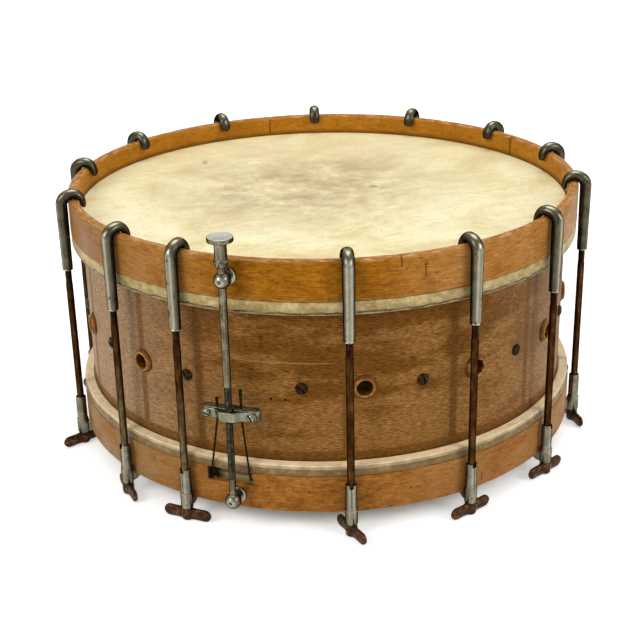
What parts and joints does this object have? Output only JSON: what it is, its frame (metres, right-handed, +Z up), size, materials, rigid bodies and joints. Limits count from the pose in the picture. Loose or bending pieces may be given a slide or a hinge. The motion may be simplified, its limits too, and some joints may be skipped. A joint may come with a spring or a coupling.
{
  "type": "snare drum",
  "caption": "Antique wooden snare drum with calfskin heads, wooden counterhoops, hooks and claws, and tension rods whose T handles are its feet.",
  "frame": {"origin": "on the drum's own axis, on the surface that its rod handles stand on", "axes": "+Z up along the drum's axis towards the batter head, -Y towards the front of the picture, +X to its right; the strainer is at the front left"},
  "size_m": [0.4603, 0.472, 0.2374],
  "materials": {
    "shell_wood": "steam-bent shell, faded brown stain under old varnish, fine horizontal grain",
    "hoop_maple": "steam-bent maple, amber varnish worn pale along the edges",
    "flesh_hoop_wood": "plain bent ash, unvarnished, inside the lapped skin",
    "calfskin": "translucent rawhide, mottled cream and grey, satin",
    "tarnished_nickel": "nickel plate on brass, tarnished grey-green with bright high spots",
    "rusted_iron": "malleable iron, dark brown rust with lighter worn edges",
    "ring_steel": "blackened steel with slotted round-head screws",
    "gut": "twisted gut, dark and dry"
  },
  "bodies": {
    "root": {"shell": "shell_wood", "centre_ring": "ring_steel", "batter_hoop": "hoop_maple", "snare_hoop": "hoop_maple", "batter_flesh_hoop": "flesh_hoop_wood", "snare_flesh_hoop": "flesh_hoop_wood", "batter_head": "calfskin", "snare_head": "calfskin", "strainer_upper_post": "tarnished_nickel", "strainer_lower_post": "tarnished_nickel", "butt_strap": "tarnished_nickel", "snare_strand": "gut", "hook_01": "tarnished_nickel", "hook_02": "tarnished_nickel", "hook_03": "tarnished_nickel", "hook_04": "tarnished_nickel", "hook_05": "tarnished_nickel", "hook_06": "tarnished_nickel", "hook_07": "tarnished_nickel", "hook_08": "tarnished_nickel", "hook_09": "tarnished_nickel", "hook_10": "tarnished_nickel", "hook_11": "tarnished_nickel", "hook_12": "tarnished_nickel", "hook_13": "tarnished_nickel", "hook_14": "tarnished_nickel"},
    "claw_01": {"claw_01": "tarnished_nickel"},
    "rod_01": {"rod_01": "rusted_iron"},
    "claw_02": {"claw_02": "tarnished_nickel"},
    "rod_02": {"rod_02": "rusted_iron"},
    "claw_03": {"claw_03": "tarnished_nickel"},
    "rod_03": {"rod_03": "rusted_iron"},
    "claw_04": {"claw_04": "tarnished_nickel"},
    "rod_04": {"rod_04": "rusted_iron"},
    "claw_05": {"claw_05": "tarnished_nickel"},
    "rod_05": {"rod_05": "rusted_iron"},
    "claw_06": {"claw_06": "tarnished_nickel"},
    "rod_06": {"rod_06": "rusted_iron"},
    "claw_07": {"claw_07": "tarnished_nickel"},
    "rod_07": {"rod_07": "rusted_iron"},
    "claw_08": {"claw_08": "tarnished_nickel"},
    "rod_08": {"rod_08": "rusted_iron"},
    "claw_09": {"claw_09": "tarnished_nickel"},
    "rod_09": {"rod_09": "rusted_iron"},
    "claw_10": {"claw_10": "tarnished_nickel"},
    "rod_10": {"rod_10": "rusted_iron"},
    "claw_11": {"claw_11": "tarnished_nickel"},
    "rod_11": {"rod_11": "rusted_iron"},
    "claw_12": {"claw_12": "tarnished_nickel"},
    "rod_12": {"rod_12": "rusted_iron"},
    "claw_13": {"claw_13": "tarnished_nickel"},
    "rod_13": {"rod_13": "rusted_iron"},
    "claw_14": {"claw_14": "tarnished_nickel"},
    "rod_14": {"rod_14": "rusted_iron"},
    "strainer_screw": {"strainer_knob": "tarnished_nickel", "strainer_rod": "tarnished_nickel"},
    "strainer_clamp": {"strainer_block": "tarnished_nickel", "strainer_strap": "tarnished_nickel", "clamp_screw_left": "tarnished_nickel", "clamp_screw_right": "tarnished_nickel"}
  },
  "joints": [
    {"name": "claw_01_lower", "type": "slide", "parent": "root", "child": "claw_01", "axis": [0, 0, -1], "range_m": [0, 0.00636]},
    {"name": "rod_01_turn", "type": "hinge", "parent": "claw_01", "child": "rod_01", "pos_m": [0.01674, -0.21756, 0], "axis": [0, 0, -1], "range_deg": [0, 2160]},
    {"name": "claw_02_lower", "type": "slide", "parent": "root", "child": "claw_02", "axis": [0, 0, -1], "range_m": [0, 0.00636]},
    {"name": "rod_02_turn", "type": "hinge", "parent": "claw_02", "child": "rod_02", "pos_m": [0.1091, -0.18897, 0], "axis": [0, 0, -1], "range_deg": [0, 2160]},
    {"name": "claw_03_lower", "type": "slide", "parent": "root", "child": "claw_03", "axis": [0, 0, -1], "range_m": [0, 0.00636]},
    {"name": "rod_03_turn", "type": "hinge", "parent": "claw_03", "child": "rod_03", "pos_m": [0.17653, -0.12826, 0], "axis": [0, 0, -1], "range_deg": [0, 2160]},
    {"name": "claw_04_lower", "type": "slide", "parent": "root", "child": "claw_04", "axis": [0, 0, -1], "range_m": [0, 0.00636]},
    {"name": "rod_04_turn", "type": "hinge", "parent": "claw_04", "child": "rod_04", "pos_m": [0.21551, -0.03413, 0], "axis": [0, 0, -1], "range_deg": [0, 2160]},
    {"name": "claw_05_lower", "type": "slide", "parent": "root", "child": "claw_05", "axis": [0, 0, -1], "range_m": [0, 0.00636]},
    {"name": "rod_05_turn", "type": "hinge", "parent": "claw_05", "child": "rod_05", "pos_m": [0.21016, 0.05868, 0], "axis": [0, 0, -1], "range_deg": [0, 2160]},
    {"name": "claw_06_lower", "type": "slide", "parent": "root", "child": "claw_06", "axis": [0, 0, -1], "range_m": [0, 0.00636]},
    {"name": "rod_06_turn", "type": "hinge", "parent": "claw_06", "child": "rod_06", "pos_m": [0.16739, 0.13996, 0], "axis": [0, 0, -1], "range_deg": [0, 2160]},
    {"name": "claw_07_lower", "type": "slide", "parent": "root", "child": "claw_07", "axis": [0, 0, -1], "range_m": [0, 0.00636]},
    {"name": "rod_07_turn", "type": "hinge", "parent": "claw_07", "child": "rod_07", "pos_m": [0.09187, 0.19792, 0], "axis": [0, 0, -1], "range_deg": [0, 2160]},
    {"name": "claw_08_lower", "type": "slide", "parent": "root", "child": "claw_08", "axis": [0, 0, -1], "range_m": [0, 0.00636]},
    {"name": "rod_08_turn", "type": "hinge", "parent": "claw_08", "child": "rod_08", "pos_m": [-0.00723, 0.21808, 0], "axis": [0, 0, -1], "range_deg": [0, 2160]},
    {"name": "claw_09_lower", "type": "slide", "parent": "root", "child": "claw_09", "axis": [0, 0, -1], "range_m": [0, 0.00636]},
    {"name": "rod_09_turn", "type": "hinge", "parent": "claw_09", "child": "rod_09", "pos_m": [-0.10109, 0.19337, 0], "axis": [0, 0, -1], "range_deg": [0, 2160]},
    {"name": "claw_10_lower", "type": "slide", "parent": "root", "child": "claw_10", "axis": [0, 0, -1], "range_m": [0, 0.00636]},
    {"name": "rod_10_turn", "type": "hinge", "parent": "claw_10", "child": "rod_10", "pos_m": [-0.1772, 0.12733, 0], "axis": [0, 0, -1], "range_deg": [0, 2160]},
    {"name": "claw_11_lower", "type": "slide", "parent": "root", "child": "claw_11", "axis": [0, 0, -1], "range_m": [0, 0.00636]},
    {"name": "rod_11_turn", "type": "hinge", "parent": "claw_11", "child": "rod_11", "pos_m": [-0.21495, 0.03751, 0], "axis": [0, 0, -1], "range_deg": [0, 2160]},
    {"name": "claw_12_lower", "type": "slide", "parent": "root", "child": "claw_12", "axis": [0, 0, -1], "range_m": [0, 0.00636]},
    {"name": "rod_12_turn", "type": "hinge", "parent": "claw_12", "child": "rod_12", "pos_m": [-0.21006, -0.05905, 0], "axis": [0, 0, -1], "range_deg": [0, 2160]},
    {"name": "claw_13_lower", "type": "slide", "parent": "root", "child": "claw_13", "axis": [0, 0, -1], "range_m": [0, 0.00636]},
    {"name": "rod_13_turn", "type": "hinge", "parent": "claw_13", "child": "rod_13", "pos_m": [-0.16036, -0.14797, 0], "axis": [0, 0, -1], "range_deg": [0, 2160]},
    {"name": "claw_14_lower", "type": "slide", "parent": "root", "child": "claw_14", "axis": [0, 0, -1], "range_m": [0, 0.00636]},
    {"name": "rod_14_turn", "type": "hinge", "parent": "claw_14", "child": "rod_14", "pos_m": [-0.1091, -0.18897, 0], "axis": [0, 0, -1], "range_deg": [0, 2160]},
    {"name": "strainer_knob_turn", "type": "hinge", "parent": "root", "child": "strainer_screw", "pos_m": [-0.07156, -0.21142, 0], "axis": [0, 0, 1], "range_deg": [-1350, 2700]},
    {"name": "strainer_clamp_slide", "type": "slide", "parent": "root", "child": "strainer_clamp", "axis": [0, 0, 1], "range_m": [-0.00795, 0.00398], "deforming": ["snare_strand"]}
  ],
  "couplings": [
    {"joint": "rod_01_turn", "follows": "claw_01_lower", "rad_per_m": 5927.5},
    {"joint": "rod_02_turn", "follows": "claw_02_lower", "rad_per_m": 5927.5},
    {"joint": "rod_03_turn", "follows": "claw_03_lower", "rad_per_m": 5927.5},
    {"joint": "rod_04_turn", "follows": "claw_04_lower", "rad_per_m": 5927.5},
    {"joint": "rod_05_turn", "follows": "claw_05_lower", "rad_per_m": 5927.5},
    {"joint": "rod_06_turn", "follows": "claw_06_lower", "rad_per_m": 5927.5},
    {"joint": "rod_07_turn", "follows": "claw_07_lower", "rad_per_m": 5927.5},
    {"joint": "rod_08_turn", "follows": "claw_08_lower", "rad_per_m": 5927.5},
    {"joint": "rod_09_turn", "follows": "claw_09_lower", "rad_per_m": 5927.5},
    {"joint": "rod_10_turn", "follows": "claw_10_lower", "rad_per_m": 5927.5},
    {"joint": "rod_11_turn", "follows": "claw_11_lower", "rad_per_m": 5927.5},
    {"joint": "rod_12_turn", "follows": "claw_12_lower", "rad_per_m": 5927.5},
    {"joint": "rod_13_turn", "follows": "claw_13_lower", "rad_per_m": 5927.5},
    {"joint": "rod_14_turn", "follows": "claw_14_lower", "rad_per_m": 5927.5},
    {"joint": "strainer_knob_turn", "follows": "strainer_clamp_slide", "rad_per_m": -5927.5}
  ]
}
